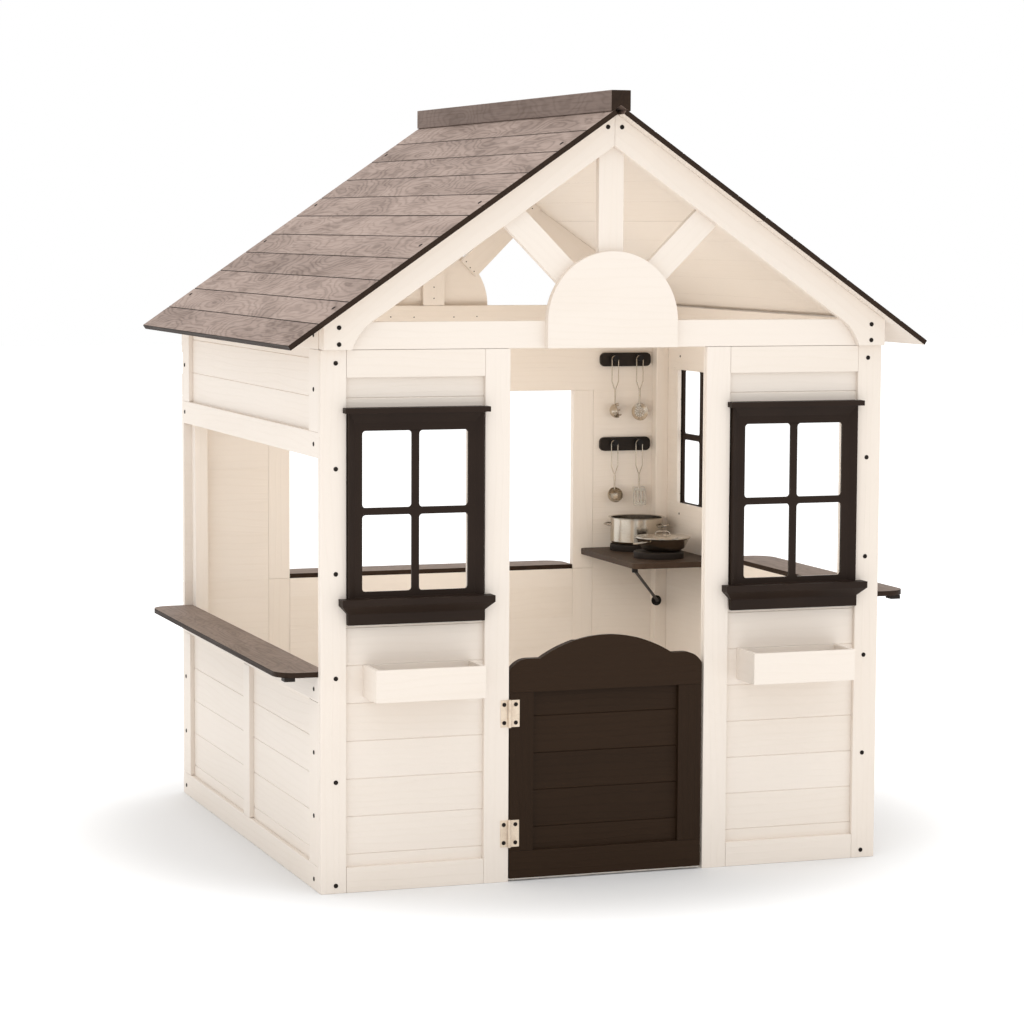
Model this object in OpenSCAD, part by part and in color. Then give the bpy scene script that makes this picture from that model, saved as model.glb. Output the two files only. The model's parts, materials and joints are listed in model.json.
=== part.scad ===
// Flat-packed wooden playhouse: plank walls on corner posts, open sunburst gables,
// a boarded roof, serving counters and a small play kitchen in the back right corner.
// The origin is on the ground under the middle of the house.

/* [House] */
// Width over the side walls
house_w = 1370; // [1300:10:1500]
// Depth over the front and back walls
house_d = 1320; // [1300:10:1500]
// Height of the walls up to the gable beams
wall_h = 1220; // [1190:10:1300]
// Height of the roof surface at the ridge
ridge_h = 1766; // [1720:1:1800]
// Half of the roof's width, ridge to eave
roof_half_w = 775; // [765:1:800]
// Height of the roof surface at the eaves
eave_h = 1232; // [1220:1:1240]
// How far the roof stands out past the gable boards
roof_overhang = 37; // [20:1:60]

/* [Boards] */
// Thickness of the frame boards nailed on the outside
board_t = 11; // [9:1:14]
// Thickness of the planks behind them
plank_t = 10; // [8:1:12]
// Height of one plank
plank_pitch = 85.6; // [80:0.2:90]
// Chamfer on the outer edges of the planks
groove = 1.5; // [0.5:0.1:3]
// Width of a stile or rail
stile_w = 58; // [50:1:60]
// Width of the stiles in the front wall
front_stile_w = 60; // [50:1:64]
// Height of the top rail in the front wall
front_rail_h = 61.5; // [50:0.5:64]
// Width of the front stile on each side wall
corner_stile_w = 74; // [58:1:80]
// Side of a square corner post
post_w = 34; // [30:1:44]
// Fine joint left between frame boards
seam = 0.5; // [0.3:0.1:1]
// Fine joint left between planks
plank_seam = 0.15; // [0.1:0.05:0.5]
// Thickness of the gable boards
gable_t = 20; // [16:1:20]
// Width of the gable boards
gable_board_w = 62; // [56:1:64]
// Thickness of the roof boards
roof_t = 12; // [10:1:14]

/* [Door] */
// Width of the doorway
doorway_w = 480; // [440:10:500]
// Gap under the door
door_clear = 6.5; // [4:0.5:12]
// Height of the door's shoulders
door_shoulder_h = 513; // [480:1:530]
// Rise of the arch over the shoulders
door_arch_rise = 48; // [30:1:60]
// Height of one hinge
hinge_h = 62; // [50:1:70]

/* [Windows] */
// Width of one pane opening
pane_w = 116; // [100:1:120]
// Height of one pane opening
pane_h = 172; // [150:1:180]
// Bottom of the lower panes in the front windows
pane_base_h = 680; // [660:1:690]
// How much higher the side window sits
side_window_lift = 67; // [50:1:70]
// Width of the upright bar between panes
bar_w = 17; // [12:1:20]
// Height of the level bar between panes
bar_h = 16; // [12:1:20]
// Width of a window casing
casing_w = 318; // [300:1:322]

/* [Counters] */
// How far each counter stands out from its wall
counter_reach = 92; // [70:1:100]
// Thickness of a counter board
counter_t = 12; // [10:1:16]
// Top of the left lower wall
left_sill_h = 489; // [480:1:520]
// Top of the right lower wall
right_sill_h = 622; // [610:1:630]
// Top of the back lower wall
back_sill_h = 562; // [550:1:600]
// Underside of the header over the left opening
left_header_h = 979; // [950:1:1000]
// Underside of the header over the right opening
right_header_h = 1112; // [1080:1:1130]
// Underside of the header over the back opening
back_header_h = 1050; // [1040:1:1080]
// Width of the opening in the back wall
back_opening_w = 800; // [760:10:820]
// Length of the opening in the right wall
right_opening_l = 824; // [800:1:830]

/* [Flower boxes] */
// Outer width of a flower box
box_w = 256; // [220:1:260]
// Outer height of a flower box
box_h = 73; // [60:1:80]
// Depth of a flower box in front of the wall face
box_reach = 92; // [60:1:100]
// Underside of a flower box
box_base_h = 442; // [430:1:460]
// Thickness of a flower box board
box_t = 9; // [8:1:12]

/* [Kitchen] */
// Top of the kitchen shelf
kitchen_h = 618; // [600:1:620]
// Width of the shelf out from the right wall
kitchen_w = 246; // [236:1:260]
// Length of the shelf out from the back wall
kitchen_l = 416; // [400:1:420]
// Thickness of the shelf
kitchen_t = 15; // [12:1:18]
// Radius of a burner disc
burner_r = 67; // [60:1:68]
// Thickness of a burner disc
burner_t = 18; // [16:1:24]
// Outer radius of the pot's body
pot_r = 71; // [60:1:74]
// Height of the pot
pot_h = 72; // [60:1:76]
// Radius of the pan's rim
pan_r = 74; // [66:1:75]
// Height of the pan
pan_h = 36; // [32:1:40]
// Wall of the pot, the pan and the lid
sheet_t = 1.6; // [1.4:0.1:2]
// Radius of the utensils' wire
utensil_wire_r = 1.3; // [1.2:0.1:1.8]

/* [Hidden] */

cream = "antiquewhite";
dark = "#3a2e26";
taupe = "#a08f86";
shelf_brown = "#7d6c62";
steel = "silver";
brass = "#d8c4a0";
black = "#221c1a";

half_w = house_w / 2;
// The origin is central between the flower boxes and the back counter.
front_y = (box_reach - counter_reach - house_d) / 2;
back_y = front_y + house_d;
wall_t = board_t + plank_t;
inner_w = half_w - wall_t;
jamb_x = doorway_w / 2;
pane_step_x = pane_w + bar_w;
pane_step_z = pane_h + bar_h;
roof_angle = atan((ridge_h - eave_h) / roof_half_w);
roof_slope = tan(roof_angle);
roof_drop = roof_t / cos(roof_angle);
under_ridge_h = ridge_h - roof_drop;
slope_l = roof_half_w / cos(roof_angle);
first_board_s = 17;
roof_boards = 11;
upper_boards = 5;
roof_pitch = (slope_l - first_board_s) / roof_boards;
roof_l = house_d + 2 * (gable_t + roof_overhang);
front_window_xs = [-464.5, 462];
side_window_y = 1070;
flower_box_x = 455.5;
burners = [[549, 1215], [537, 1012]];
pot_at = [554, 1215];
pan_at = [548.5, 1012];
burner_top = kitchen_h + burner_t;
hook_xs = [512, 584];
hook_hs = [1136, 905];
hook_y = back_y - wall_t;
hook_pin_r = 6;
utensil_y = hook_y - 24;
screw_r = 5.2;
screw_t = 1.4;
hinge_hs = [112, 389];
hinge_x = -jamb_x + 0.5;
knuckle_r = 4;
pin_r = 2;
hinge_y = front_y - knuckle_r - 0.2;
leaf_t = 1.6;

// ---------- helpers: walls ----------

// Moves its children into a wall's own frame: x runs along the wall from its left end as
// seen from outside, y runs inwards from the outer face and z is up.
module on_front() translate([0, front_y, 0]) children();
module on_back() translate([0, back_y, 0]) rotate([0, 0, 180]) children();
module on_left() translate([-half_w, back_y, 0]) rotate([0, 0, -90]) children();
module on_right() translate([half_w, front_y, 0]) rotate([0, 0, 90]) children();

// One frame board on the outer face.
module frame_board(x0, x1, z0, z1) {
    translate([x0 + seam / 2, 0, z0 + seam / 2])
        cube([x1 - x0 - seam, board_t, z1 - z0 - seam]);
}

// One plank along x, from z0 to z1, its chamfered outer face at y = 0.
module plank(x0, x1, z0, z1) {
    h = z1 - z0 - plank_seam;
    translate([x0, 0, z0 + plank_seam / 2])
        rotate([90, 0, 90])
            linear_extrude(x1 - x0)
                polygon([
                    [groove, 0], [plank_t, 0], [plank_t, h], [groove, h], [0, h - groove], [0, groove]
                ]);
}

// Rows of planks behind the frame boards.
module plank_rows(x0, x1, z0, z1) {
    for (k = [floor(z0 / plank_pitch) : ceil(z1 / plank_pitch) - 1]) {
        low = max(z0, k * plank_pitch);
        high = min(z1, (k + 1) * plank_pitch);
        if (high - low > 2.5 * groove)
            translate([0, board_t, 0])
                plank(x0 + seam / 2, x1 - seam / 2, low, high);
    }
}

// Rows of planks round a window opening: hole is [left, right, bottom, top].
module planks_round(x0, x1, z0, z1, hole) {
    plank_rows(x0, x1, z0, hole[2]);
    plank_rows(x0, hole[0], hole[2], hole[3]);
    plank_rows(hole[1], x1, hole[2], hole[3]);
    plank_rows(x0, x1, hole[3], z1);
}

// The opening that a window needs in the planks.
function window_hole(x, lift) = [
    x - pane_step_x / 2 - pane_w / 2 - 1.5, x + pane_step_x / 2 + pane_w / 2 + 1.5,
    pane_base_h + lift - 1.5, pane_base_h + lift + pane_step_z + pane_h + 1.5
];

// Stiles and rails of one front wall panel; inner is the x of its jamb side.
module front_panel_frame(side) {
    outer = side * half_w;
    inner = side * jamb_x;
    outer_seam = side * (half_w - front_stile_w);
    inner_seam = side * (jamb_x + front_stile_w);
    frame_board(min(outer, outer_seam), max(outer, outer_seam), 0, wall_h);
    frame_board(min(inner, inner_seam), max(inner, inner_seam), 0, wall_h);
    for (z = [[0, stile_w], [wall_h - front_rail_h, wall_h]])
        frame_board(min(outer_seam, inner_seam), max(outer_seam, inner_seam), z[0], z[1]);
}

module front_panel_planks(side) {
    planks_round(min(side * half_w, side * jamb_x), max(side * half_w, side * jamb_x), 0, wall_h,
        window_hole(front_window_xs[side < 0 ? 0 : 1], 0));
}

// ---------- helpers: fittings ----------

module rounded_slot(w, h, r) {
    square([w - 2 * r, h], center = true);
    square([w, h - 2 * r], center = true);
    for (x = [-1, 1], y = [-1, 1])
        translate([x * (w / 2 - r), y * (h / 2 - r)])
            circle(r, $fn = 32);
}

// Upright outline in x and z, extruded from y0 to y1.
module upright(y0, y1) {
    translate([0, y1, 0])
        rotate([90, 0, 0])
            linear_extrude(y1 - y0)
                children();
}

// Round bar between two points.
module bar(a, b, r) {
    d = b - a;
    length = norm(d);
    translate(a)
        rotate([0, acos(d[2] / length), atan2(d[1], d[0])])
            cylinder(h = length, r = r, $fn = 24);
}

// Bent wire through a list of points, with a slightly fuller elbow at each bend.
module wire(points, r) {
    last = len(points) - 1;
    for (i = [0 : last - 1])
        bar(points[i], points[i + 1], r);
    for (i = [1 : last - 1])
        translate(points[i])
            sphere(r * 1.08, $fn = 24);
}

// Flat wire loop in x and y: two legs from x = 0, rounded corners and a bar at x = reach.
module wire_loop(reach, loop_y, bend, r) {
    straight = reach - bend;
    for (side = [0, 1])
        mirror([0, side, 0]) {
            translate([0, loop_y, 0])
                rotate([0, 90, 0])
                    cylinder(h = straight, r = r, $fn = 24);
            translate([straight, loop_y - bend, 0])
                rotate_extrude(angle = 90, $fn = 48)
                    translate([bend, 0])
                        circle(r, $fn = 24);
        }
    if (loop_y > bend)
        translate([reach, bend - loop_y, 0])
            rotate([-90, 0, 0])
                cylinder(h = 2 * (loop_y - bend), r = r, $fn = 24);
}

// Dark button-head screw on a face that looks along -y.
module screw_head() {
    rotate([90, 0, 0])
        difference() {
            union() {
                cylinder(h = screw_t / 2, r = screw_r, $fn = 32);
                translate([0, 0, screw_t / 2])
                    cylinder(h = screw_t / 2, r1 = screw_r, r2 = screw_r - 1.2, $fn = 32);
            }
            translate([0, 0, screw_t - 0.9])
                cylinder(h = 1, r = 1.9, $fn = 6);
        }
}

// Moulded window: casing with a sloped rim, four panes, a ledge on top and a sill below.
module window() {
    panes_w = pane_step_x + pane_w;
    panes_top = pane_base_h + pane_step_z + pane_h;
    casing_base = pane_base_h - 46;
    ledge_h = panes_top + 40;
    rim = 18;
    flat_y = -2;
    rim_y = -12;
    difference() {
        translate([-casing_w / 2, rim_y, casing_base])
            cube([casing_w, board_t - rim_y, ledge_h + 12 - casing_base]);
        hull() {
            translate([-casing_w / 2 + 2, rim_y - 1, casing_base + 30])
                cube([casing_w - 4, 1, ledge_h - casing_base - 30]);
            translate([-casing_w / 2 + rim, flat_y - 0.1, casing_base + 34])
                cube([casing_w - 2 * rim, 0.1, ledge_h - 22 - casing_base - 34]);
        }
        for (x = [-1, 1], z = [0, 1])
            translate([x * pane_step_x / 2, 0, pane_base_h + pane_h / 2 + z * pane_step_z])
                upright(-20, 20)
                    rounded_slot(pane_w, pane_h, 8);
        translate([-panes_w / 2 - 5, 6, pane_base_h - 5])
            cube([panes_w + 10, 10, pane_step_z + pane_h + 10]);
    }
    ledge_w = casing_w + 21;
    sill_w = casing_w + 41;
    apron_w = casing_w + 4;
    translate([-ledge_w / 2, -26, ledge_h])
        cube([ledge_w, 25.7, 12]);
    sill_top = pane_base_h - 14;
    translate([-sill_w / 2, -34, sill_top - 14.5])
        cube([sill_w, 33.7, 14.5]);
    hull() {
        translate([-sill_w / 2, -34, sill_top - 14.6])
            cube([sill_w, 33.7, 0.1]);
        translate([-apron_w / 2, -14, sill_top - 34])
            cube([apron_w, 13.7, 0.1]);
    }
    translate([-apron_w / 2, -14, sill_top - 59])
        cube([apron_w, 13.7, 25.1]);
}

module flower_box() {
    inner_y = board_t;
    reach = -box_reach;
    x0 = -box_w / 2;
    floor_h = box_base_h + box_t;
    translate([x0, reach, box_base_h])
        cube([box_w, box_t, box_h]);
    translate([x0, inner_y - box_t, box_base_h])
        cube([box_w, box_t - 0.1, box_h]);
    for (x = [x0, -x0 - box_t])
        translate([x, reach + box_t + 0.2, box_base_h])
            cube([box_t, inner_y - reach - 2 * box_t - 0.4, box_h]);
    translate([x0 + box_t + 0.2, reach + box_t + 0.2, floor_h - box_t])
        cube([box_w - 2 * box_t - 0.4, inner_y - reach - 2 * box_t - 0.4, box_t]);
}

// Counter board with two rounded outer corners; it lies in x and z, its outer edge at -y.
module counter(x0, x1, top) {
    r = 52;
    depth = counter_reach + wall_t;
    translate([x0, wall_t - depth, top])
        linear_extrude(counter_t) {
            translate([0, r])
                square([x1 - x0, depth - r]);
            translate([r, 0])
                square([x1 - x0 - 2 * r, depth]);
            for (x = [r, x1 - x0 - r])
                translate([x, r])
                    circle(r, $fn = 64);
        }
}

// ---------- walls ----------

module corner_posts() {
    color(cream)
        for (x = [-1, 1], y = [front_y + wall_t, back_y - wall_t - post_w])
            translate([x * (inner_w - post_w / 2) - post_w / 2, y, 0])
                cube([post_w, post_w, wall_h]);
}

module front_left_frame() color(cream) on_front() front_panel_frame(-1);
module front_right_frame() color(cream) on_front() front_panel_frame(1);
module front_left_planks() color(cream) on_front() front_panel_planks(-1);
module front_right_planks() color(cream) on_front() front_panel_planks(1);

side_top_h = under_ridge_h - roof_slope * half_w - 1;

// The side walls stand between the front and back walls.
module side_header_frame(x0, x1, header_h, near_end) {
    frame_board(x0, x1, header_h, header_h + stile_w);
    frame_board(x0, x0 + (near_end == 0 ? corner_stile_w : stile_w), header_h + stile_w, wall_h);
    frame_board(x1 - (near_end == 1 ? corner_stile_w : stile_w), x1, header_h + stile_w, wall_h);
    frame_board(x0, x1, wall_h, side_top_h);
}

module left_wall_frame() {
    x0 = wall_t;
    x1 = house_d - wall_t;
    middle = house_d / 2;
    color(cream)
        on_left() {
            frame_board(x0, x1, 0, stile_w);
            frame_board(x0, x1, left_sill_h - stile_w, left_sill_h);
            frame_board(x0, x0 + stile_w, stile_w, left_sill_h - stile_w);
            frame_board(middle - stile_w / 2, middle + stile_w / 2, stile_w, left_sill_h - stile_w);
            frame_board(x1 - corner_stile_w, x1, stile_w, left_sill_h - stile_w);
            side_header_frame(x0, x1, left_header_h, 1);
        }
}

module left_wall_planks() {
    color(cream)
        on_left() {
            plank_rows(wall_t, house_d - wall_t, 0, left_sill_h);
            plank_rows(wall_t, house_d - wall_t, left_header_h, side_top_h);
        }
}

// The right wall has a serving opening at its front and a window at its back.
module right_wall_frame() {
    x0 = wall_t;
    x1 = house_d - wall_t;
    split = wall_t + right_opening_l;
    color(cream)
        on_right() {
            frame_board(x0, x1, 0, stile_w);
            frame_board(x0, x1, right_sill_h - stile_w, right_sill_h);
            frame_board(x0, x0 + corner_stile_w, stile_w, right_sill_h - stile_w);
            frame_board(split - stile_w, split, stile_w, right_sill_h - stile_w);
            frame_board(x1 - stile_w, x1, stile_w, right_sill_h - stile_w);
            frame_board(split, side_window_y - casing_w / 2 - seam, right_sill_h, wall_h - stile_w);
            frame_board(side_window_y + casing_w / 2 + seam, x1, right_sill_h, wall_h - stile_w);
            frame_board(split, x1, wall_h - stile_w, wall_h);
            side_header_frame(x0, split, right_header_h, 0);
            frame_board(split, x1, wall_h, side_top_h);
        }
}

module right_wall_planks() {
    split = wall_t + right_opening_l;
    end = house_d - wall_t;
    color(cream)
        on_right() {
            plank_rows(wall_t, end, 0, right_sill_h);
            plank_rows(wall_t, split, right_header_h, side_top_h);
            planks_round(split, end, right_sill_h, side_top_h,
                window_hole(side_window_y, side_window_lift));
        }
}

// The back wall has a wide serving opening; full-thickness stiles stand beside and below it.
module back_wall_frame() {
    edge = half_w;
    opening = back_opening_w / 2;
    color(cream)
        on_back() {
            for (z = [0, back_sill_h - stile_w, back_header_h, wall_h - stile_w])
                frame_board(-edge, edge, z, z + stile_w);
            for (x = [-edge, edge - stile_w]) {
                frame_board(x, x + stile_w, stile_w, back_sill_h - stile_w);
                frame_board(x, x + stile_w, back_sill_h, back_header_h);
            }
            for (x = [-opening - stile_w, opening]) {
                frame_board(x, x + stile_w, stile_w, back_sill_h - stile_w);
                frame_board(x, x + stile_w, back_sill_h, back_header_h);
                for (z = [[0, back_sill_h], [back_sill_h, back_header_h]])
                    translate([x + seam / 2, board_t + plank_seam, z[0] + seam / 2])
                        cube([stile_w - seam, plank_t - plank_seam, z[1] - z[0] - seam]);
            }
        }
}

module back_wall_planks() {
    opening = back_opening_w / 2;
    color(cream)
        on_back() {
            for (z = [[0, back_sill_h], [back_sill_h, back_header_h]]) {
                plank_rows(-half_w, -opening - stile_w, z[0], z[1]);
                plank_rows(opening + stile_w, half_w, z[0], z[1]);
            }
            plank_rows(-opening, opening, 0, back_sill_h);
            plank_rows(-half_w, half_w, back_header_h, wall_h);
        }
}

// ---------- gables ----------

sunburst_h = wall_h + gable_board_w - 1;
half_round_r = 158;
rafter_drop = gable_board_w / cos(roof_angle);
foot_w = 66;
cove_r = 120;

// Everything in a gable ends under the roof boards.
module gable_outline() {
    polygon([
        [-half_w + 2, wall_h + seam], [half_w - 2, wall_h + seam],
        [half_w - 2, under_ridge_h - roof_slope * (half_w - 2)], [0, under_ridge_h],
        [-half_w + 2, under_ridge_h - roof_slope * (half_w - 2)]
    ]);
}

module gable_beam() {
    upright(0, wall_t)
        intersection() {
            gable_outline();
            translate([-half_w, wall_h])
                square([2 * half_w, gable_board_w]);
        }
}

// One rafter, with a coved foot that comes down over the end of the beam.
module rafter() {
    edge = half_w - 2;
    foot = [edge - foot_w, wall_h + seam];
    neck = [foot[0] - 55, under_ridge_h - rafter_drop - roof_slope * (foot[0] - 55)];
    middle = (foot + neck) / 2;
    chord = norm(foot - neck);
    inward = [neck[1] - foot[1], foot[0] - neck[0]] / chord;
    centre = middle - inward * sqrt(cove_r * cove_r - chord * chord / 4);
    upright(-gable_t, 0)
        difference() {
            polygon([
                [seam / 2, under_ridge_h - roof_slope * seam / 2], [edge, under_ridge_h - roof_slope * edge],
                [edge, foot[1]], foot, neck, [seam / 2, under_ridge_h - rafter_drop]
            ]);
            translate(centre)
                circle(cove_r, $fn = 96);
        }
}

module gable_rafters() {
    rafter();
    mirror([1, 0, 0])
        rafter();
}

// King post on the middle of the beam, and two diagonals that spread beside it.
module gable_struts() {
    w = gable_board_w - 2;
    start_r = 140;
    upright(0, gable_t)
        intersection() {
            gable_outline();
            union() {
                translate([-w / 2, wall_h + gable_board_w + seam])
                    square([w, ridge_h]);
                for (a = [-45, 45])
                    translate([0, sunburst_h])
                        rotate(a)
                            translate([-w / 2, start_r])
                                square([w, 2 * half_w]);
            }
        }
}

module gable_half_round() {
    upright(-gable_t, 0) {
        translate([0, sunburst_h])
            intersection() {
                circle(half_round_r, $fn = 128);
                translate([-half_round_r, 0])
                    square([2 * half_round_r, half_round_r]);
            }
        translate([-half_round_r, wall_h + seam])
            square([2 * half_round_r, sunburst_h - wall_h - seam]);
    }
}

module front_gable_beam() color(cream) on_front() gable_beam();
module front_gable_rafters() color(cream) on_front() gable_rafters();
module front_gable_struts() color(cream) on_front() gable_struts();
module front_gable_half_round() color(cream) on_front() gable_half_round();
module back_gable_beam() color(cream) on_back() gable_beam();
module back_gable_rafters() color(cream) on_back() gable_rafters();
module back_gable_struts() color(cream) on_back() gable_struts();
module back_gable_half_round() color(cream) on_back() gable_half_round();

// ---------- roof ----------

// Moves its children onto a roof slope: x runs down the slope from the ridge, y along the
// ridge from the front edge and z stands out of the roof surface, 0 at its top.
module on_slope(side) {
    mirror([side < 0 ? 1 : 0, 0, 0])
        translate([0, front_y - gable_t - roof_overhang, ridge_h])
            rotate([0, roof_angle, 0])
                children();
}

// One roof board from x0 to x1, its upper edges chamfered.
module roof_board(x0, x1) {
    low = roof_t - groove;
    upright(0, roof_l)
        polygon([[x0, 0], [x1, 0], [x1, low], [x1 - groove, roof_t], [x0 + groove, roof_t], [x0, low]]);
}

module roof_panel(side, first, count) {
    on_slope(side)
        for (k = [first : first + count - 1])
            translate([first_board_s + k * roof_pitch, 0, -roof_t])
                roof_board(k == first ? seam : 0, roof_pitch - plank_seam);
}

module roof_left_upper() color(taupe) roof_panel(-1, 0, upper_boards);
module roof_left_lower() color(taupe) roof_panel(-1, upper_boards, roof_boards - upper_boards);
module roof_right_upper() color(taupe) roof_panel(1, 0, upper_boards);
module roof_right_lower() color(taupe) roof_panel(1, upper_boards, roof_boards - upper_boards);

// Squared ridge timber with a V notch that rides on both slopes.
module ridge_cap() {
    cap_w = 47;
    cap_h = 47;
    cap_base = ridge_h - 13;
    notch = (ridge_h + 0.3 - cap_base) / roof_slope;
    color(dark)
        translate([0, front_y - gable_t - roof_overhang, 0])
            upright(0, roof_l)
                polygon([
                    [-cap_w / 2, cap_base], [-notch, cap_base], [0, ridge_h + 0.3], [notch, cap_base],
                    [cap_w / 2, cap_base], [cap_w / 2, cap_base + cap_h], [-cap_w / 2, cap_base + cap_h]
                ]);
}

// ---------- windows, boxes and counters ----------

module front_left_window() color(dark) on_front() translate([front_window_xs[0], 0, 0]) window();
module front_right_window() color(dark) on_front() translate([front_window_xs[1], 0, 0]) window();
module side_window() color(dark) on_right() translate([side_window_y, 0, side_window_lift]) window();
module front_left_flower_box() color(cream) on_front() translate([-flower_box_x, 0, 0]) flower_box();
module front_right_flower_box() color(cream) on_front() translate([flower_box_x, 0, 0]) flower_box();

counter_end = wall_t + 1;
module left_counter() color(shelf_brown) on_left() counter(counter_end, house_d - counter_end, left_sill_h);
module right_counter() color(shelf_brown) on_right() counter(counter_end, wall_t + right_opening_l, right_sill_h);
module back_counter() color(shelf_brown) on_back() counter(-back_opening_w / 2 + 1, back_opening_w / 2 - 1, back_sill_h);

// Small support blocks under the outer edge of the counters.
module counter_blocks() {
    block = [30, 25, 9];
    out = 75;
    inset = 8;
    color(black) {
        on_left()
            for (x = [counter_end + inset, house_d - counter_end - inset - block[0]])
                translate([x, -out, left_sill_h - block[2]])
                    cube(block);
        on_right()
            for (x = [counter_end + inset, right_opening_l + wall_t - inset - block[0]])
                translate([x, -out, right_sill_h - block[2]])
                    cube(block);
        on_back()
            for (x = [-back_opening_w / 2 + inset, back_opening_w / 2 - inset - block[0]])
                translate([x, -out, back_sill_h - block[2]])
                    cube(block);
    }
}

// ---------- kitchen corner ----------

module kitchen_shelf() {
    r = 22;
    x0 = inner_w - kitchen_w;
    y1 = back_y - wall_t;
    color(dark)
        translate([x0, y1 - kitchen_l, kitchen_h - kitchen_t])
            linear_extrude(kitchen_t)
                difference() {
                    union() {
                        translate([r, 0])
                            square([kitchen_w - r, kitchen_l]);
                        translate([0, r])
                            square([kitchen_w, kitchen_l - 2 * r]);
                        for (y = [r, kitchen_l - r])
                            translate([r, y])
                                circle(r, $fn = 48);
                    }
                    translate([kitchen_w - post_w - 0.2, kitchen_l - post_w - 0.2])
                        square(post_w + 1);
                }
}

module burner_discs() {
    edge = 4;
    color(black)
        for (at = burners)
            translate([at[0], front_y + at[1], kitchen_h])
                rotate_extrude($fn = 96) {
                    square([burner_r - edge, burner_t]);
                    square([burner_r, burner_t - edge]);
                    translate([burner_r - edge, burner_t - edge])
                        circle(edge, $fn = 24);
                }
}

// Diagonal stay from the shelf's free corner to an eye plate on the corner post.
module shelf_stay_rod() {
    plate_at = [inner_w - 30, back_y - wall_t - post_w, 470];
    shelf_end = [inner_w - kitchen_w + 12, back_y - wall_t - kitchen_l + 30, kitchen_h - kitchen_t - 7];
    plate_t = 4;
    eye = plate_at - [0, plate_t + 7, 0];
    color(black) {
        translate(plate_at)
            rotate([90, 0, 0])
                cylinder(h = plate_t, r = 14, $fn = 48);
        translate(eye)
            rotate([90, 0, 0])
                translate([0, 0, -7])
                    cylinder(h = 10, r = 5, $fn = 32);
        bar(eye, shelf_end, 4);
        translate(shelf_end - [0, 0, 4])
            cylinder(h = 11, r = 8, $fn = 32);
    }
}

module hook_rails() {
    rail_w = 146;
    rail_h = 37;
    rail_t = 12;
    color(black)
        for (z = hook_hs)
            translate([(hook_xs[0] + hook_xs[1]) / 2, hook_y, z - 3])
                upright(-rail_t, 0)
                    rounded_slot(rail_w, rail_h, 13);
}

// Each hook is a peg with a raised round end.
module hooks() {
    rail_t = 12;
    peg_l = 20;
    color(black)
        for (x = hook_xs, z = hook_hs)
            translate([x, hook_y - rail_t, z])
                rotate([90, 0, 0]) {
                    cylinder(h = 3, r = 11, $fn = 32);
                    cylinder(h = peg_l, r = hook_pin_r, $fn = 32);
                    translate([0, 1.5, peg_l - 4])
                        cylinder(h = 5, r = 7.9, $fn = 32);
                }
}

// Bent-wire handle that hangs from a hook: the origin is the hook's axis.
module utensil_handle() {
    r = utensil_wire_r;
    loop_r = 9.4;
    loop_z = hook_pin_r + 0.35 + r - loop_r;
    neck_z = -62;
    stem_z = -84;
    translate([0, 0, loop_z])
        rotate([90, 0, 0])
            rotate_extrude(angle = 180, $fn = 48)
                translate([loop_r, 0])
                    circle(r, $fn = 16);
    for (side = [-1, 1])
        wire([[side * loop_r, 0, loop_z], [side * loop_r, 0, neck_z], [side * 1.6, 0, stem_z]], r);
    bar([0, 0, stem_z + 3], [0, 0, -126], 2.4);
}

module hang(column, row) {
    translate([hook_xs[column], utensil_y, hook_hs[row]])
        children();
}

// Deep bowl that looks sideways, with a ring of teeth.
module pasta_spoon() {
    bowl_r = 20;
    color(steel)
        hang(0, 0) {
            utensil_handle();
            translate([5, 0, -142])
                rotate([0, 76, -22]) {
                    difference() {
                        sphere(bowl_r, $fn = 48);
                        sphere(bowl_r - sheet_t, $fn = 48);
                        translate([-30, -30, 3])
                            cube([60, 60, 30]);
                        cylinder(h = 60, r = 5, center = true, $fn = 24);
                    }
                    for (a = [45 : 45 : 315])
                        rotate([0, 0, a])
                            translate([bowl_r - 1.3, 0, 1])
                                cylinder(h = 9, r = 1.3, $fn = 16);
                }
        }
}

// Dished round plate with a ring of slots.
module skimmer() {
    plate_r = 24;
    color(steel)
        hang(1, 0) {
            utensil_handle();
            translate([0, 0, -146])
                rotate([82, 0, 0])
                    difference() {
                        rotate_extrude($fn = 64)
                            polygon([
                                [0, -3], [plate_r * 0.6, -2], [plate_r, 2], [plate_r, 2 + sheet_t],
                                [plate_r * 0.6, -2 + sheet_t], [0, -3 + sheet_t]
                            ]);
                        for (ring = [[6, 7, 0], [12, 13, 15]], k = [1 : ring[0]])
                            rotate([0, 0, k * 360 / ring[0] + ring[2]])
                                translate([ring[1], 0, 0])
                                    cylinder(h = 20, r = 1.7, center = true, $fn = 16);
                    }
        }
}

// Round bowl on a bent stem.
module ladle() {
    bowl_r = 21.5;
    color(steel)
        hang(0, 1) {
            utensil_handle();
            translate([0, -8, -140])
                rotate([60, 0, 0])
                    difference() {
                        sphere(bowl_r, $fn = 64);
                        sphere(bowl_r - sheet_t, $fn = 64);
                        translate([-30, -30, 3])
                            cube([60, 60, 30]);
                    }
        }
}

// Slotted flat blade.
module turner() {
    blade = [35, sheet_t, 50];
    color(steel)
        hang(1, 1) {
            utensil_handle();
            translate([0, 0, -121])
                rotate([-8, 0, 0])
                    difference() {
                        translate([-blade[0] / 2, -blade[1] / 2, -blade[2]])
                            cube(blade);
                        for (x = [-10, 0, 10])
                            translate([x, 0, -blade[2] / 2 - 2])
                                upright(-5, 5)
                                    rounded_slot(4, 32, 1.9);
                    }
        }
}

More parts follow.
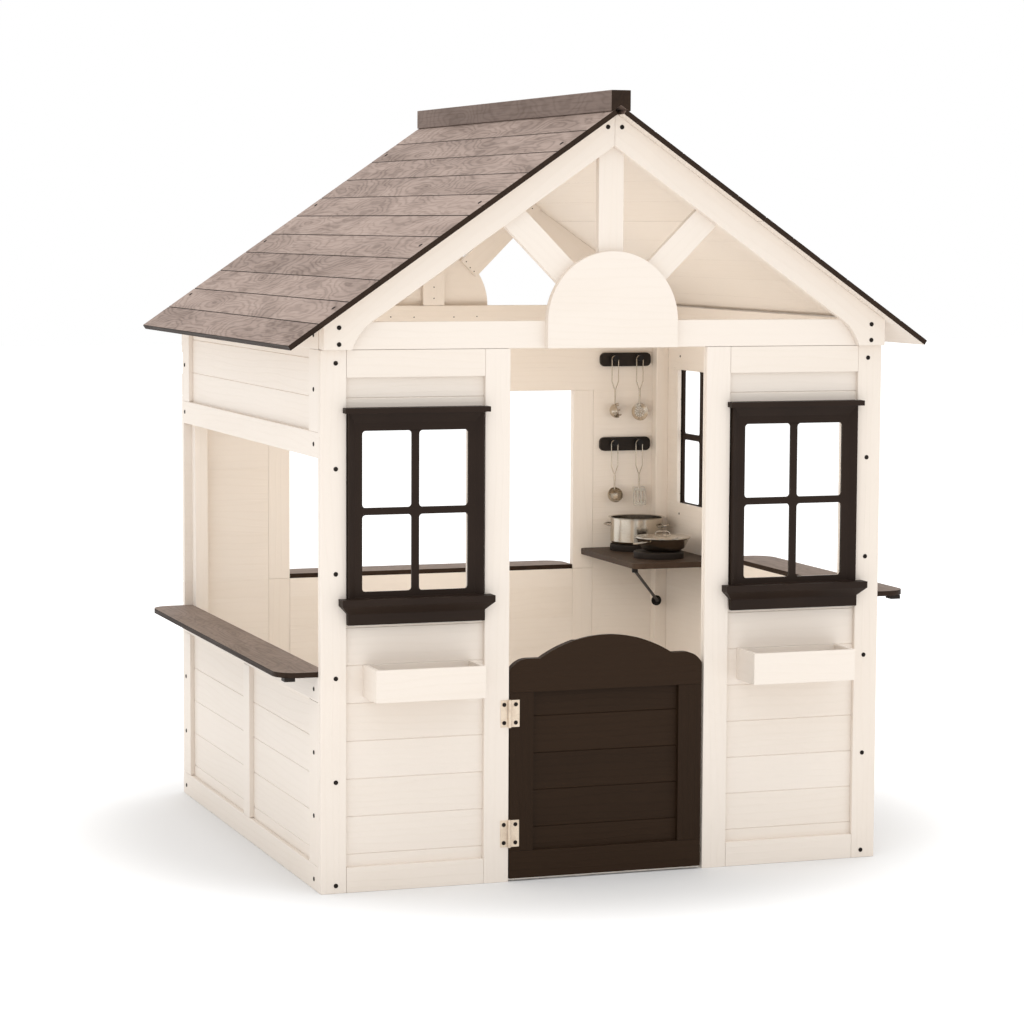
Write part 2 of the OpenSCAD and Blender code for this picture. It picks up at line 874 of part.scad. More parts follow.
// Straight-sided pot with a rolled rim.
module pot() {
    color(steel)
        translate([pot_at[0], front_y + pot_at[1], burner_top + 0.3])
            rotate_extrude($fn = 128)
                polygon([
                    [0, 0], [pot_r - 7, 0], [pot_r - 2, 2], [pot_r, 7], [pot_r, pot_h - 3],
                    [pot_r + 6, pot_h - 1], [pot_r + 6, pot_h], [pot_r - sheet_t, pot_h - 1.4],
                    [pot_r - sheet_t, 7.6], [pot_r - 3, 3.2], [pot_r - 7.4, sheet_t], [0, sheet_t]
                ]);
}

// Two wire loops, one on each side of the pot.
module pot_handles() {
    loop_y = 21;
    wall_x = sqrt(pot_r * pot_r - loop_y * loop_y) - sheet_t / 2;
    color(steel)
        translate([pot_at[0], front_y + pot_at[1], burner_top + 48])
            for (a = [-38, 142])
                rotate([0, 0, a])
                    translate([wall_x, 0, 0])
                        rotate([0, -10, 0])
                            wire_loop(pot_r + 17 - wall_x, loop_y, 9, 2);
}

// Low pan with sloping sides.
module pan() {
    base_r = pan_r - 28;
    color(steel)
        translate([pan_at[0], front_y + pan_at[1], burner_top + 0.3])
            rotate_extrude($fn = 128)
                polygon([
                    [0, 0], [base_r, 0], [base_r + 12, 8], [pan_r - 4, pan_h - 5], [pan_r, pan_h - 1],
                    [pan_r, pan_h], [pan_r - 3, pan_h], [pan_r - 6, pan_h - 4.5],
                    [base_r + 11, 8 + sheet_t], [base_r - 0.6, sheet_t], [0, sheet_t]
                ]);
}

// Wire handle and a small helper loop opposite it.
module pan_handle() {
    wall_x = pan_r - 6.5;
    long_reach = 64;
    helper_reach = 19;
    color(steel)
        translate([pan_at[0], front_y + pan_at[1], burner_top + 28])
            rotate([0, 0, -146]) {
                translate([wall_x, 0, 0])
                    wire_loop(long_reach, 6, 5, 2);
                rotate([0, 0, 180])
                    translate([wall_x - 1, 0, 1])
                        rotate([0, -12, 0])
                            wire_loop(helper_reach, 13, 7, 2);
            }
}

// Shallow domed lid on the pan's rim.
module lid() {
    rim_r = pan_r - 1;
    color(steel)
        translate([pan_at[0], front_y + pan_at[1], burner_top + pan_h + 0.6])
            rotate_extrude($fn = 128)
                polygon([
                    [0, 5], [20, 4.6], [42, 3.2], [62, 1.2], [rim_r - 4, 0], [rim_r, 0],
                    [rim_r, sheet_t], [rim_r - 4, sheet_t], [62, 1.2 + sheet_t], [42, 3.2 + sheet_t],
                    [20, 4.6 + sheet_t], [0, 5 + sheet_t]
                ]);
}

// Low wire arch on the lid.
module lid_handle() {
    foot_z = 5.6;
    color(steel)
        translate([pan_at[0], front_y + pan_at[1], burner_top + pan_h + 0.6 + foot_z])
            rotate([0, -90, -115])
                wire_loop(15 - foot_z, 19, 9, 1.6);
}

// ---------- screws ----------

screw_rows = [for (k = [0 : 5]) 18 + 234.6 * k];

module front_wall_screws() {
    color(black)
        for (x = [-650, 650], z = screw_rows) {
            translate([x, front_y, z])
                screw_head();
            translate([x, back_y, z])
                rotate([0, 0, 180])
                    screw_head();
        }
}

module side_wall_screws() {
    low_rows = [25, 170, 314, 458];
    high_rows = [1009, 1131, 1252];
    right_front_rows = [1141, 1250];
    from_front = 56;
    from_back = house_d - 33;
    columns = [
        [-1, from_front, high_rows], [-1, from_back, high_rows],
        [1, from_front, right_front_rows], [1, from_back, high_rows]
    ];
    color(black)
        for (c = columns, z = concat(low_rows, c[2]))
            translate([c[0] * half_w, front_y + c[1], z])
                rotate([0, 0, c[0] * 90])
                    screw_head();
}

module gable_screws() {
    ends = [for (side = [-1, 1], z = [wall_h + 13, wall_h + 50]) [side * 648, z]];
    apex = [for (side = [-1, 1]) [side * 17, under_ridge_h - 33]];
    color(black)
        for (p = concat(ends, apex)) {
            translate([p[0], front_y - gable_t, p[1]])
                screw_head();
            translate([p[0], back_y + gable_t, p[1]])
                rotate([0, 0, 180])
                    screw_head();
        }
}

// Small screws on the inner faces of the gables and of the window panel.
module inner_screws() {
    size = 0.32;
    panel_size = 0.6;
    strut_ends = [[91, 1399], [102, 1383], [113, 1373], [278, 1542]];
    post_foot = [[0, 1301], [0, 1331]];
    beam = [[56, 1251], [121, 1252]];
    panel = [[1181, 1145], [1178, 717]];
    struts = concat(post_foot, [for (side = [-1, 1], p = strut_ends) [side * p[0], p[1]]]);
    color(black) {
        for (x = struts) {
            translate([x[0], front_y + gable_t, x[1]])
                rotate([0, 0, 180])
                    scale(size)
                        screw_head();
            translate([x[0], back_y - gable_t, x[1]])
                scale(size)
                    screw_head();
        }
        for (side = [-1, 1], p = beam) {
            translate([side * p[0], front_y + wall_t, p[1]])
                rotate([0, 0, 180])
                    scale(size)
                        screw_head();
            translate([side * p[0], back_y - wall_t, p[1]])
                scale(size)
                    screw_head();
        }
        for (p = panel)
            translate([inner_w, front_y + p[0], p[1]])
                rotate([0, 0, -90])
                    scale(panel_size)
                        screw_head();
    }
}

module roof_screws() {
    rows = [1.6, 4.4, 6.4, 9.3];
    edge = roof_overhang + gable_t / 2;
    color(black)
        for (side = [-1, 1], k = rows, y = [edge, roof_l - edge])
            on_slope(side)
                translate([first_board_s + k * roof_pitch, y, 0])
                    rotate([-90, 0, 0])
                        screw_head();
}

// ---------- door ----------

door_gap = 2;
door_left = -jamb_x + door_gap;
door_right = jamb_x - 5;
door_w = door_right - door_left;
door_stile = 58;
door_rail_low = 70;
door_rail_high = 436;

// Outline of the door: rounded shoulders and a low arch between them.
module door_outline() {
    shoulder_w = 75;
    corner_r = 50;
    corner_in = 44;
    arch_half = door_w / 2 - shoulder_w;
    arch_r = (arch_half * arch_half + door_arch_rise * door_arch_rise) / (2 * door_arch_rise);
    middle = (door_left + door_right) / 2;
    intersection() {
        translate([door_left, door_clear])
            square([door_w, door_shoulder_h - door_clear]);
        union() {
            translate([door_left, door_clear])
                square([door_w, door_shoulder_h - corner_r - door_clear]);
            translate([door_left + corner_in, door_clear])
                square([door_w - 2 * corner_in, door_shoulder_h]);
            for (x = [door_left + corner_in, door_right - corner_in])
                translate([x, door_shoulder_h - corner_r])
                    circle(corner_r, $fn = 96);
        }
    }
    intersection() {
        translate([middle, door_shoulder_h + door_arch_rise - arch_r])
            circle(arch_r, $fn = 192);
        translate([door_left, door_shoulder_h - 1])
            square([door_w, door_arch_rise + 2]);
    }
}

// Stiles between a bottom rail and an arched top rail, on the outer face.
module door_frame() {
    color(dark)
        on_front() {
            frame_board(door_left, door_left + door_stile, door_rail_low, door_rail_high);
            frame_board(door_right - door_stile, door_right, door_rail_low, door_rail_high);
            frame_board(door_left, door_right, door_clear, door_rail_low);
            upright(0, board_t)
                difference() {
                    door_outline();
                    translate([-half_w, 0])
                        square([house_w, door_rail_high + seam / 2]);
                }
        }
}

module door_planks() {
    first_groove = 36.5;
    color(dark)
        on_front()
            for (k = [0 : 6])
                intersection() {
                    upright(board_t, wall_t)
                        door_outline();
                    translate([0, board_t, 0])
                        plank(-half_w, half_w, first_groove + (k - 1) * plank_pitch, first_groove + k * plank_pitch);
                }
}

// ---------- hinges ----------

leaf_reach_jamb = 20.5;
leaf_reach_door = 24.5;
knuckle_h = hinge_h / 3;
knuckle_clear = 0.3;

// Moves its children to each hinge, with the origin at the low end of the pin's axis.
module at_hinges() {
    for (z = hinge_hs)
        translate([hinge_x, hinge_y, z - hinge_h / 2])
            children();
}

module knuckle(z0, z1, bore_r) {
    translate([0, 0, z0])
        difference() {
            cylinder(h = z1 - z0, r = knuckle_r, $fn = 48);
            translate([0, 0, -1])
                cylinder(h = z1 - z0 + 2, r = bore_r, $fn = 48);
        }
}

module leaf_plate(x0, x1, z0, z1) {
    translate([x0, -leaf_t - hinge_y + front_y, z0])
        cube([x1 - x0, leaf_t, z1 - z0]);
}

module hinge_jamb_leaves() {
    ends = [[0, knuckle_h], [2 * knuckle_h, hinge_h]];
    color(brass)
        at_hinges() {
            leaf_plate(-leaf_reach_jamb, -knuckle_r - 1, 0, hinge_h);
            for (e = ends)
                difference() {
                    union() {
                        leaf_plate(-knuckle_r - 1, 0, e[0], e[1]);
                        translate([0, 0, e[0]])
                            cylinder(h = e[1] - e[0], r = knuckle_r, $fn = 48);
                    }
                    translate([0, 0, e[0] - 1])
                        cylinder(h = e[1] - e[0] + 2, r = pin_r, $fn = 48);
                }
        }
}

module hinge_door_leaves() {
    z0 = knuckle_h + knuckle_clear;
    z1 = 2 * knuckle_h - knuckle_clear;
    color(brass)
        at_hinges() {
            leaf_plate(knuckle_r + 1, leaf_reach_door, 0, hinge_h);
            difference() {
                union() {
                    leaf_plate(0, knuckle_r + 1, z0, z1);
                    translate([0, 0, z0])
                        cylinder(h = z1 - z0, r = knuckle_r, $fn = 48);
                }
                translate([0, 0, z0 - 1])
                    cylinder(h = z1 - z0 + 2, r = pin_r + 0.08, $fn = 48);
            }
        }
}

module hinge_pins() {
    color(brass)
        at_hinges()
            translate([0, 0, -1.2]) {
                cylinder(h = hinge_h + 2.4, r = pin_r, $fn = 48);
                cylinder(h = 1.2, r = 3, $fn = 32);
                translate([0, 0, hinge_h + 1.2])
                    cylinder(h = 1.2, r = 3, $fn = 32);
            }
}

module leaf_screws(x) {
    at_hinges()
        for (z = [hinge_h / 2 - 21, hinge_h / 2 + 21])
            translate([x, front_y - hinge_y - leaf_t, z])
                scale(0.92)
                    screw_head();
}

module hinge_jamb_screws() color(black) leaf_screws(-12.5);
module hinge_door_screws() color(black) leaf_screws(15.5);

corner_posts();
front_left_frame();
front_left_planks();
front_right_frame();
front_right_planks();
left_wall_frame();
left_wall_planks();
right_wall_frame();
right_wall_planks();
back_wall_frame();
back_wall_planks();
front_gable_beam();
front_gable_rafters();
front_gable_struts();
front_gable_half_round();
back_gable_beam();
back_gable_rafters();
back_gable_struts();
back_gable_half_round();
roof_left_upper();
roof_left_lower();
roof_right_upper();
roof_right_lower();
ridge_cap();
front_left_window();
front_right_window();
side_window();
front_left_flower_box();
front_right_flower_box();
left_counter();
right_counter();
back_counter();
counter_blocks();
kitchen_shelf();
burner_discs();
shelf_stay_rod();
hook_rails();
hooks();
front_wall_screws();
side_wall_screws();
gable_screws();
inner_screws();
roof_screws();
hinge_jamb_leaves();
hinge_pins();
hinge_jamb_screws();
door_frame();
door_planks();
hinge_door_leaves();
hinge_door_screws();
pasta_spoon();
skimmer();
ladle();
turner();
pot();
pot_handles();
pan();
pan_handle();
lid();
lid_handle();
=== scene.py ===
"""Looks for the wooden playhouse: camera, light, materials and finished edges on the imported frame."""

import json
import math

import bpy
import numpy as np
from mathutils import Matrix, Vector


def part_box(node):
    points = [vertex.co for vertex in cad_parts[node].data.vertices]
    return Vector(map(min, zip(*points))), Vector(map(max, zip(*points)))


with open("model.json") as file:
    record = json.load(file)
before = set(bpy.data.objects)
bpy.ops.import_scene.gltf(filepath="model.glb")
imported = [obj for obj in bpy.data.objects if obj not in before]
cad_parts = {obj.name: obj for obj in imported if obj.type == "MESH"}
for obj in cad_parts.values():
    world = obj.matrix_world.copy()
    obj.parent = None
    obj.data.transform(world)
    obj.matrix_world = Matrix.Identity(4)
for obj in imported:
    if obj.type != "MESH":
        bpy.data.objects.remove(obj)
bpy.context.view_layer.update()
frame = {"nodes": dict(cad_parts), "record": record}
nodes = frame["nodes"]

# ---------- driving values, in metres, degrees and watts ----------

SENSOR_W = 0.036
LENS_LENGTH = 0.10817
CAMERA_FROM_FRONT = Vector((-2.546, -6.540, 1.496))
CAMERA_YAW = -19.46
CAMERA_PITCH = -5.32
CAMERA_ROLL = 0.282
FAR_CLIP = 200

WHITE = (1.0, 1.0, 1.0)
TOP_SOFTBOX = {"at": (0, 0, 7.0), "target": (0, 0, 0), "size": 8.0, "watts": 260}
KEY_SOFTBOX = {"at": (-3.5, -5.0, 4.0), "target": (0, 0, 0.8), "size": 4.0, "watts": 21}
INDOOR_FILL = {"at": (0, 0, 0.8), "radius": 0.25, "watts": 8.4, "colour": (1.0, 0.97, 0.90)}

FLOOR_SIZE = 60.0
FLOOR_GREY = 0.77
FLOOR_GLOW = 0.42
GLOW_STARTS = 0.85
GLOW_IS_FULL = 1.45

WELD_GAP = 0.00005
BOARD_EDGE = 0.0014
FITTING_EDGE = 0.0008
EDGE_SEGMENTS = 2
EDGE_ANGLE = 30

PATTERN_SHIFT = 40

# How far a face's normal must lean for the face to count as a top, an underside or an end.
ROOF_TOP = 0.3
ROOF_UNDERSIDE = -0.6
COUNTER_TOP = 0.5
RIDGE_END = 0.9


# ---------- camera and light ----------


def make_camera():
    """The camera that sees the house as a person standing in front of its left corner does."""
    data = bpy.data.cameras.new("view_camera")
    data.sensor_width = SENSOR_W * 1000
    data.lens = LENS_LENGTH * 1000
    data.clip_end = FAR_CLIP
    camera = bpy.data.objects.new("view_camera", data)
    turn = Matrix.Rotation(math.radians(CAMERA_YAW), 4, "Z")
    tilt = Matrix.Rotation(math.radians(90 + CAMERA_PITCH), 4, "X")
    roll = Matrix.Rotation(math.radians(CAMERA_ROLL), 4, "Z")
    front = Vector((0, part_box("front_left_frame")[0][1], 0))
    camera.matrix_world = Matrix.Translation(front + CAMERA_FROM_FRONT) @ turn @ tilt @ roll
    bpy.context.scene.collection.objects.link(camera)
    bpy.context.scene.camera = camera


def area_light(name, at, target, size, watts):
    """A square soft box that faces its target."""
    data = bpy.data.lights.new(name, "AREA")
    data.shape = "SQUARE"
    data.size = size
    data.energy = watts
    light = bpy.data.objects.new(name, data)
    light.location = at
    light.rotation_euler = (Vector(target) - Vector(at)).to_track_quat("-Z", "Y").to_euler()
    bpy.context.scene.collection.objects.link(light)


def fill_light(name, at, radius, watts, colour):
    """A soft light inside the house that stands for the light coming through its openings. Neither the camera
    nor a reflection shows it."""
    data = bpy.data.lights.new(name, "POINT")
    data.shadow_soft_size = radius
    data.energy = watts
    data.color = colour
    light = bpy.data.objects.new(name, data)
    light.location = at
    light.visible_camera = False
    light.visible_glossy = False
    bpy.context.scene.collection.objects.link(light)


def make_light():
    """White surroundings, two broad soft boxes as in a product studio, and a slightly warm fill indoors."""
    world = bpy.data.worlds.new("studio")
    world.use_nodes = True
    background = world.node_tree.nodes["Background"]
    background.inputs["Color"].default_value = (*WHITE, 1)
    background.inputs["Strength"].default_value = 1.0
    bpy.context.scene.world = world
    area_light("top_softbox", **TOP_SOFTBOX)
    area_light("key_softbox", **KEY_SOFTBOX)
    fill_light("indoor_fill", **INDOOR_FILL)
    bpy.context.scene.view_settings.view_transform = "Standard"


# ---------- grain coordinates ----------


def islands_of(mesh, co):
    """Each vertex's board number: vertices that share a place or a face belong to one board."""
    _, place = np.unique(np.round(co / WELD_GAP).astype(np.int64), axis=0, return_inverse=True)
    place = place.reshape(-1)
    parent = list(range(place.max() + 1))

    def root(i):
        while parent[i] != i:
            parent[i] = parent[parent[i]]
            i = parent[i]
        return i

    for polygon in mesh.polygons:
        first = root(place[polygon.vertices[0]])
        for v in polygon.vertices[1:]:
            other = root(place[v])
            if other != first:
                parent[other] = first
    roots = np.array([root(p) for p in place])
    _, board = np.unique(roots, return_inverse=True)
    return board.reshape(-1)


def lay_grain(piece, seed):
    """Stores where each point lies in its own board: x runs along the grain, which follows the longest side,
    y across it and z through it. Every board starts at its own place in the pattern and has its own tone."""
    mesh = piece.data
    co = np.zeros(len(mesh.vertices) * 3)
    mesh.vertices.foreach_get("co", co)
    co = co.reshape(-1, 3)
    board = islands_of(mesh, co)
    rng = np.random.default_rng(seed)
    grain = np.zeros_like(co)
    tone = np.zeros(len(co))
    for b in range(board.max() + 1):
        own = board == b
        points = co[own]
        centred = points - points.mean(axis=0)
        _, _, axes = np.linalg.svd(centred, full_matrices=False)
        spans = [np.ptp(centred @ axis) for axis in axes]
        order = np.argsort(spans)[::-1]
        offset = rng.uniform(-PATTERN_SHIFT, PATTERN_SHIFT, 3)
        grain[own] = np.stack([centred @ axes[k] for k in order], axis=1) + offset
        tone[own] = rng.uniform(0, 1)
    stored_grain = mesh.attributes.new("grain", "FLOAT_VECTOR", "POINT")
    stored_grain.data.foreach_set("vector", grain.astype(np.float32).reshape(-1))
    stored_tone = mesh.attributes.new("tone", "FLOAT", "POINT")
    stored_tone.data.foreach_set("value", tone.astype(np.float32))


def ease_edges(piece, width):
    """Welds the imported faces into solids again and rounds their edges."""
    weld = piece.modifiers.new("weld", "WELD")
    weld.merge_threshold = WELD_GAP
    bevel = piece.modifiers.new("eased_edges", "BEVEL")
    bevel.width = width
    bevel.segments = EDGE_SEGMENTS
    bevel.limit_method = "ANGLE"
    bevel.angle_limit = math.radians(EDGE_ANGLE)


# ---------- material helpers ----------


class Shader:
    """A small builder for node trees that end in one Principled shader."""

    def __init__(self, name):
        self.material = bpy.data.materials.new(name)
        self.material.use_nodes = True
        self.tree = self.material.node_tree
        self.shader = self.tree.nodes["Principled BSDF"]

    def node(self, kind, **settings):
        made = self.tree.nodes.new(kind)
        for key, value in settings.items():
            setattr(made, key, value)
        return made

    def link(self, value, socket):
        """Joins a node's output to a socket, or sets the socket to a number or colour."""
        if isinstance(value, bpy.types.NodeSocket):
            self.tree.links.new(value, socket)
        elif isinstance(value, (tuple, list)) and len(value) == 3 and socket.type == "RGBA":
            socket.default_value = (*value, 1)
        else:
            socket.default_value = value

    def set(self, **values):
        """Sets the Principled shader's inputs by name, with underscores for spaces."""
        for key, value in values.items():
            self.link(value, self.shader.inputs[key.replace("_", " ")])

    def attribute(self, name, output="Vector"):
        return self.node("ShaderNodeAttribute", attribute_name=name).outputs[output]

    def position(self):
        return self.node("ShaderNodeTexCoord").outputs["Object"]

    def stretch(self, vector, scale):
        made = self.node("ShaderNodeMapping")
        self.link(vector, made.inputs["Vector"])
        made.inputs["Scale"].default_value = scale
        return made.outputs["Vector"]

    def noise(self, vector, scale, detail, roughness, distortion=0.0, output="Fac"):
        made = self.node("ShaderNodeTexNoise")
        self.link(vector, made.inputs["Vector"])
        made.inputs["Scale"].default_value = scale
        made.inputs["Detail"].default_value = detail
        made.inputs["Roughness"].default_value = roughness
        made.inputs["Distortion"].default_value = distortion
        return made.outputs[output]

    def voronoi(self, vector, scale):
        made = self.node("ShaderNodeTexVoronoi")
        self.link(vector, made.inputs["Vector"])
        made.inputs["Scale"].default_value = scale
        return made.outputs["Distance"]

    def math(self, operation, a, b, clamp=False):
        made = self.node("ShaderNodeMath", operation=operation, use_clamp=clamp)
        self.link(a, made.inputs[0])
        self.link(b, made.inputs[1])
        return made.outputs[0]

    def vector_math(self, operation, a, b=None):
        made = self.node("ShaderNodeVectorMath", operation=operation)
        self.link(a, made.inputs[0])
        if b is not None:
            self.link(b, made.inputs[1])
        return made.outputs["Value" if operation == "LENGTH" else "Vector"]

    def remap(self, value, low, high, to_low=0.0, to_high=1.0):
        made = self.node("ShaderNodeMapRange", interpolation_type="SMOOTHSTEP")
        self.link(value, made.inputs["Value"])
        made.inputs["From Min"].default_value = low
        made.inputs["From Max"].default_value = high
        made.inputs["To Min"].default_value = to_low
        made.inputs["To Max"].default_value = to_high
        return made.outputs["Result"]

    def blend(self, amount, a, b):
        made = self.node("ShaderNodeMix", data_type="RGBA")
        self.link(amount, made.inputs["Factor"])
        self.link(a, made.inputs["A"])
        self.link(b, made.inputs["B"])
        return made.outputs["Result"]

    def bump(self, height, distance, strength):
        made = self.node("ShaderNodeBump")
        self.link(height, made.inputs["Height"])
        made.inputs["Distance"].default_value = distance
        made.inputs["Strength"].default_value = strength
        return made.outputs["Normal"]


def make_floor():
    """A pale matte floor. Away from the house it glows faintly, so that it fades into the white surroundings
    without a horizon. The glow depends on the place on the floor, not on the camera."""
    half = FLOOR_SIZE / 2
    mesh = bpy.data.meshes.new("floor")
    corners = [(-half, -half, 0), (half, -half, 0), (half, half, 0), (-half, half, 0)]
    mesh.from_pydata(corners, [], [(0, 1, 2, 3)])
    floor = bpy.data.objects.new("floor", mesh)
    bpy.context.scene.collection.objects.link(floor)
    s = Shader("floor_paint")
    s.set(Base_Color=(FLOOR_GREY, FLOOR_GREY, FLOOR_GREY), Roughness=0.85, Specular_IOR_Level=0.1)
    away = s.vector_math("LENGTH", s.position())
    glow = s.remap(away, GLOW_STARTS, GLOW_IS_FULL, 0.0, FLOOR_GLOW)
    s.set(Emission_Color=WHITE, Emission_Strength=glow)
    mesh.materials.append(s.material)


def growth_rings(s, grain, density, swirl):
    """Long wavering rings of softwood seen on a flat-sawn face: 0 in early wood, 1 in late wood."""
    drift = s.noise(s.stretch(grain, (1.1, 7.0, 7.0)), 1.0, 3.0, 0.5)
    wander = s.math("MULTIPLY", drift, swirl)
    split = s.node("ShaderNodeSeparateXYZ")
    s.link(grain, split.inputs[0])
    across = s.math("MULTIPLY", split.outputs["Y"], density)
    phase = s.math("ADD", across, wander)
    return s.math("PINGPONG", phase, 0.5)


def grain_lines(s, grain, fineness):
    """Fine fibres along the board."""
    return s.noise(s.stretch(grain, (6.0, fineness, fineness)), 1.0, 3.0, 0.6)


def painted_wood(name, colour, shade, grain_depth=0.00025, specular=0.3):
    """Opaque stain on planed softwood: colour varies a little from board to board, and the grain shows
    as faint darker rings and as a shallow relief."""
    s = Shader(name)
    grain = s.attribute("grain")
    tone = s.attribute("tone", "Fac")
    rings = growth_rings(s, grain, density=55.0, swirl=5.5)
    fibres = grain_lines(s, grain, 420.0)
    blotch = s.noise(s.stretch(grain, (1.6, 6.0, 6.0)), 1.0, 4.0, 0.55)
    late = s.remap(rings, 0.30, 0.5)
    board_shade = s.math("MULTIPLY", s.math("SUBTRACT", tone, 0.5), 0.5)
    amount = s.math("ADD", s.math("MULTIPLY", late, 0.18), board_shade)
    amount = s.math("ADD", amount, s.math("MULTIPLY", s.remap(blotch, 0.35, 0.75), 0.4), clamp=True)
    base = s.blend(amount, colour, shade)
    s.set(Base_Color=base, Specular_IOR_Level=specular)
    s.set(Roughness=s.math("ADD", s.math("MULTIPLY", fibres, 0.12), 0.44))
    height = s.math("ADD", s.math("MULTIPLY", late, 0.7), s.math("MULTIPLY", fibres, 0.5))
    s.set(Normal=s.bump(height, grain_depth, 0.8))
    return s.material


def stained_wood(name, light, dark, line, specular=0.12):
    """Semi-opaque stain on flat-sawn boards: darker clouds, with arcs that run round long knots."""
    s = Shader(name)
    grain = s.attribute("grain")
    tone = s.attribute("tone", "Fac")
    warp = s.noise(s.stretch(grain, (3.0, 11.0, 11.0)), 1.0, 3.0, 0.55, output="Color")
    place = s.vector_math("ADD", s.stretch(grain, (2.6, 8.5, 8.5)), s.stretch(warp, (0.9, 0.9, 0.9)))
    knots = s.voronoi(place, 1.0)
    arcs = s.math("PINGPONG", s.math("MULTIPLY", knots, 10.0), 0.5)
    cores = s.remap(knots, 0.04, 0.22, 1.0, 0.0)
    clouds = s.noise(s.stretch(grain, (2.4, 7.0, 7.0)), 1.0, 5.0, 0.6, 0.8)
    fibres = grain_lines(s, grain, 300.0)
    amount = s.math("ADD", s.math("MULTIPLY", s.remap(clouds, 0.38, 0.66), 0.5),
                    s.math("MULTIPLY", s.remap(arcs, 0.15, 0.5), 0.42))
    amount = s.math("ADD", amount, s.math("MULTIPLY", cores, 0.4))
    amount = s.math("ADD", amount, s.math("MULTIPLY", s.math("SUBTRACT", tone, 0.5), 0.3), clamp=True)
    base = s.blend(amount, light, dark)
    base = s.blend(s.math("MULTIPLY", s.remap(fibres, 0.5, 0.8), 0.35), base, line)
    s.set(Base_Color=base, Specular_IOR_Level=specular)
    s.set(Roughness=s.remap(fibres, 0.2, 0.8, 0.5, 0.68))
    s.set(Normal=s.bump(s.math("ADD", fibres, s.math("MULTIPLY", arcs, 0.6)), 0.0003, 0.8))
    return s.material


def moulded_plastic(name, colour, shade):
    """Dark moulded plastic with the fine tooth of a textured mould."""
    s = Shader(name)
    place = s.position()
    tooth = s.noise(place, 900.0, 2.0, 0.5)
    cloud = s.noise(place, 6.0, 3.0, 0.5)
    s.set(Base_Color=s.blend(s.remap(cloud, 0.3, 0.7), colour, shade))
    s.set(Roughness=s.remap(tooth, 0.3, 0.7, 0.45, 0.58), Specular_IOR_Level=0.12)
    s.set(Normal=s.bump(tooth, 0.0001, 0.4))
    return s.material


def brushed_metal(name, colour, roughness):
    """Stainless steel with fine brushing round each part's height."""
    s = Shader(name)
    place = s.position()
    brush = s.noise(s.stretch(place, (40, 40, 1800)), 1.0, 2.0, 0.6)
    smear = s.noise(place, 25.0, 3.0, 0.5)
    rough = s.math("ADD", s.math("MULTIPLY", brush, 0.16), s.math("MULTIPLY", smear, 0.1))
    s.set(Base_Color=s.blend(s.remap(smear, 0.3, 0.7), colour, tuple(0.88 * c for c in colour)))
    s.set(Metallic=1.0, Roughness=s.math("ADD", rough, roughness - 0.13))
    s.set(Normal=s.bump(brush, 0.00002, 0.4))
    return s.material


def coated_metal(name, colour, shade, roughness, metallic=0.0, specular=0.5):
    """Lacquered or powder-coated metal with a slight orange peel."""
    s = Shader(name)
    place = s.position()
    peel = s.noise(place, 700.0, 2.0, 0.5)
    wear = s.noise(place, 60.0, 4.0, 0.6)
    s.set(Base_Color=s.blend(s.remap(wear, 0.4, 0.7), colour, shade))
    s.set(Metallic=metallic, Specular_IOR_Level=specular)
    s.set(Roughness=s.remap(peel, 0.3, 0.7, roughness - 0.06, roughness + 0.08))
    s.set(Normal=s.bump(peel, 0.00008, 0.4))
    return s.material


# ---------- materials by slot ----------

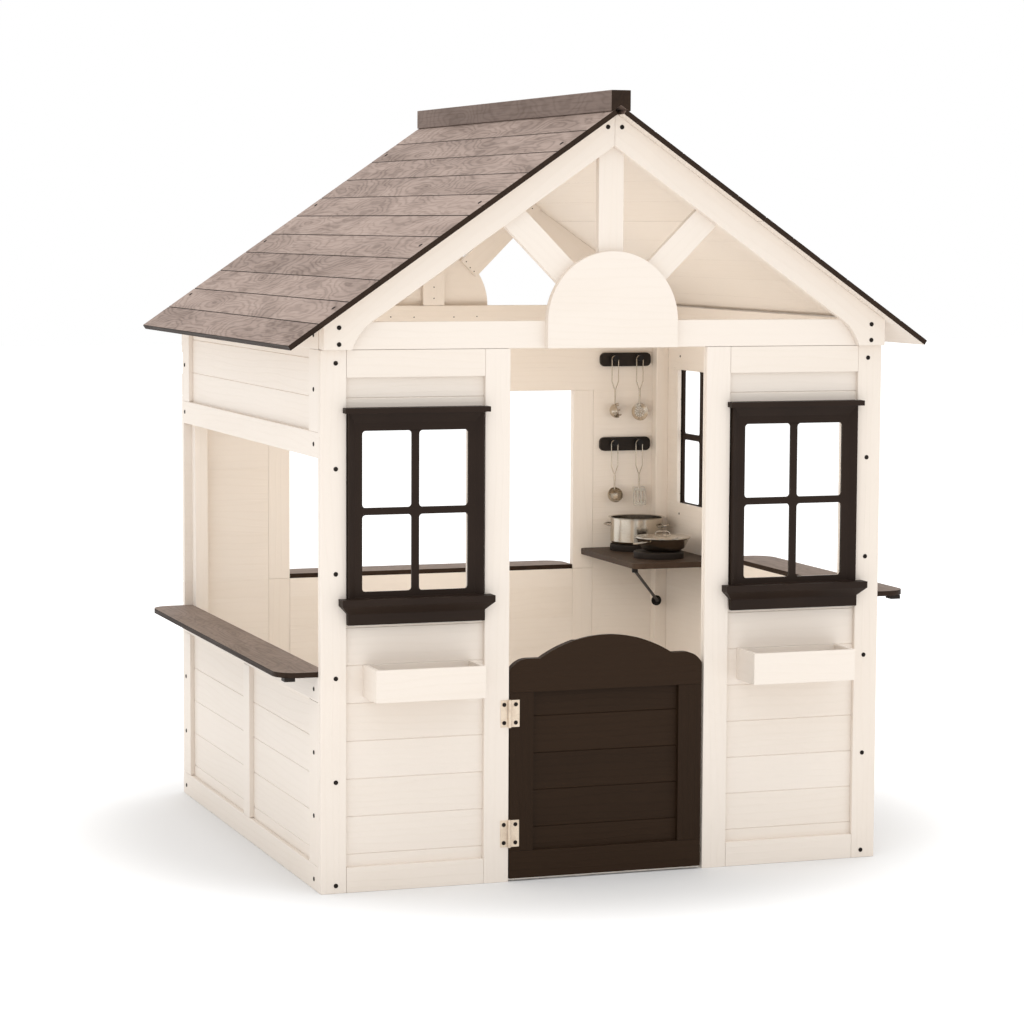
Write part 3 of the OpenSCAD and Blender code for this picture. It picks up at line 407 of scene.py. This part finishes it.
MATERIALS = {
    "cream_paint": painted_wood("cream_paint", colour=(0.790, 0.714, 0.638), shade=(0.748, 0.664, 0.578)),
    "dark_stain": painted_wood("dark_stain", colour=(0.027, 0.0142, 0.0070), shade=(0.018, 0.0095, 0.0048),
                               grain_depth=0.0004, specular=0.09),
    "window_plastic": moulded_plastic("window_plastic", colour=(0.023, 0.0135, 0.0090),
                                      shade=(0.019, 0.0110, 0.0074)),
    "roof_stain": stained_wood("roof_stain", light=(0.36, 0.272, 0.230), dark=(0.160, 0.112, 0.090),
                               line=(0.09, 0.062, 0.048)),
    "ridge_stain": stained_wood("ridge_stain", light=(0.205, 0.150, 0.125), dark=(0.135, 0.095, 0.076),
                                line=(0.06, 0.042, 0.033)),
    "counter_stain": stained_wood("counter_stain", light=(0.235, 0.180, 0.148), dark=(0.150, 0.111, 0.090),
                                  line=(0.07, 0.050, 0.040)),
    "sawn_edge": stained_wood("sawn_edge", light=(0.030, 0.017, 0.010), dark=(0.020, 0.011, 0.007),
                              line=(0.010, 0.006, 0.004)),
    "kitchen_stain": painted_wood("kitchen_stain", colour=(0.019, 0.014, 0.011), shade=(0.013, 0.010, 0.008),
                                  grain_depth=0.0003, specular=0.15),
    "shelf_stain": painted_wood("shelf_stain", colour=(0.055, 0.035, 0.023), shade=(0.037, 0.023, 0.015),
                                grain_depth=0.0003, specular=0.12),
    "utensil_steel": brushed_metal("utensil_steel", colour=(0.56, 0.49, 0.40), roughness=0.25),
    "pot_steel": brushed_metal("pot_steel", colour=(0.54, 0.485, 0.41), roughness=0.2),
    "black_rod": coated_metal("black_rod", colour=(0.010, 0.009, 0.009), shade=(0.016, 0.014, 0.013),
                              roughness=0.45, specular=0.2),
    "hinge_finish": coated_metal("hinge_finish", colour=(0.72, 0.60, 0.47), shade=(0.62, 0.50, 0.38),
                                 roughness=0.3, metallic=0.2),
    "dark_screw": coated_metal("dark_screw", colour=(0.014, 0.010, 0.008), shade=(0.022, 0.017, 0.014),
                               roughness=0.55, specular=0.12),
}
ROOF_NODES = {"roof_left_upper", "roof_left_lower", "roof_right_upper", "roof_right_lower"}
PLANK_NODES = ROOF_NODES | {"front_left_planks", "front_right_planks", "left_wall_planks", "right_wall_planks",
                            "back_wall_planks", "door_planks"}
WOOD_SLOTS = {"cream_paint", "dark_stain", "roof_stain", "ridge_stain", "counter_stain", "kitchen_stain"}


def paint_faces(piece, choose, *others):
    """Adds more materials to a piece and picks one for each face by the way the face points."""
    for name in others:
        piece.data.materials.append(MATERIALS[name])
    for face in piece.data.polygons:
        face.material_index = choose(face.normal)


def roof_face(normal):
    """The roof boards are stained on top, painted cream underneath and dark on their edges."""
    if normal.z < ROOF_UNDERSIDE:
        return 1
    return 0 if normal.z > ROOF_TOP else 2


def counter_face(normal):
    """A counter is stained on top and dark everywhere else."""
    return 0 if normal.z > COUNTER_TOP else 1


def ridge_face(normal):
    """The ridge timber is stained along its length and dark on its sawn ends."""
    return 1 if abs(normal.y) > RIDGE_END else 0


def finish_cad_nodes():
    """Gives every CAD node its material. Wooden boards get their grain, and all but the planks and roof boards
    get eased edges, as do the windows."""
    slots = {part["node"]: part["material_slot"] for part in frame["record"]["subparts"]}
    for seed, name in enumerate(sorted(nodes)):
        piece = nodes[name]
        slot = slots[name]
        piece.data.materials.clear()
        piece.data.materials.append(MATERIALS["shelf_stain" if name == "kitchen_shelf" else slot])
        if slot in WOOD_SLOTS:
            lay_grain(piece, seed)
            if name not in PLANK_NODES:
                ease_edges(piece, BOARD_EDGE)
        elif slot == "window_plastic":
            ease_edges(piece, FITTING_EDGE)
        if name in ROOF_NODES:
            paint_faces(piece, roof_face, "cream_paint", "sawn_edge")
        elif slot == "counter_stain":
            paint_faces(piece, counter_face, "sawn_edge")
        elif slot == "ridge_stain":
            paint_faces(piece, ridge_face, "sawn_edge")


make_camera()
make_floor()
make_light()
finish_cad_nodes()
